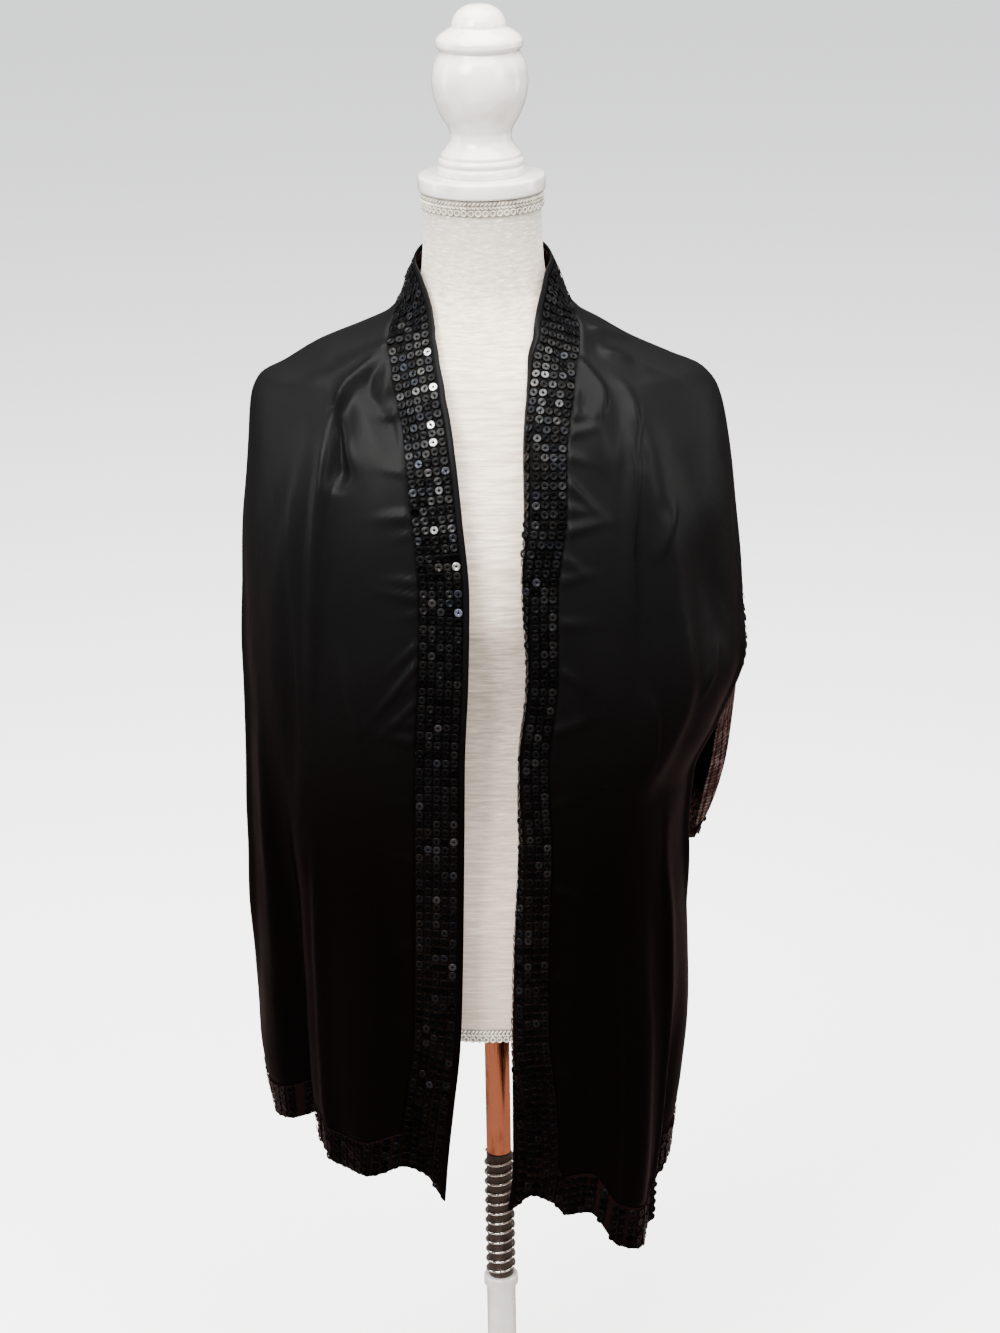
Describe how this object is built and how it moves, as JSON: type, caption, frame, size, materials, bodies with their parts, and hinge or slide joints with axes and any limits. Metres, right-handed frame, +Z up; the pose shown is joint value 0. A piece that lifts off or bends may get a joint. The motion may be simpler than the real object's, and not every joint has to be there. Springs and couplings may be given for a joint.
{
  "type": "evening stole on a dress form",
  "caption": "Long black satin stole with sequin bands on its edges, worn open over a limbless linen dress form on a pole stand with a round base.",
  "frame": {"origin": "centre of the underside of the stand's round base, on the floor", "axes": "+Z up along the stand's pole, the front of the form and the opening of the stole towards -Y, +X to the viewer's right seen from the front"},
  "size_m": [0.4496, 0.35, 1.4546],
  "materials": {
    "black_satin": "glossy woven satin",
    "black_sequins": "flat round glossy sequins sewn in five rows on black cloth",
    "linen": "matt slubbed linen",
    "gimp_braid": "matt looped braid",
    "painted_wood": "glossy off-white paint, slightly chipped",
    "painted_metal": "glossy off-white paint",
    "copper_tube": "polished copper-coloured plating",
    "chrome": "polished"
  },
  "bodies": {
    "root": {"satin_left_front": "black_satin", "satin_right_front": "black_satin", "satin_back": "black_satin", "neck_edge_binding": "black_satin", "neck_edge_band": "black_sequins", "outer_edge_band": "black_sequins", "hem_band_left": "black_sequins", "hem_band_right": "black_sequins", "form_body": "linen", "neck_braid": "gimp_braid", "hem_braid": "gimp_braid", "neck_disc": "painted_wood", "finial": "painted_wood", "pole": "copper_tube", "lower_tube": "chrome", "coil": "chrome", "stand_column": "painted_metal", "base_plate": "painted_metal"}
  },
  "joints": []
}
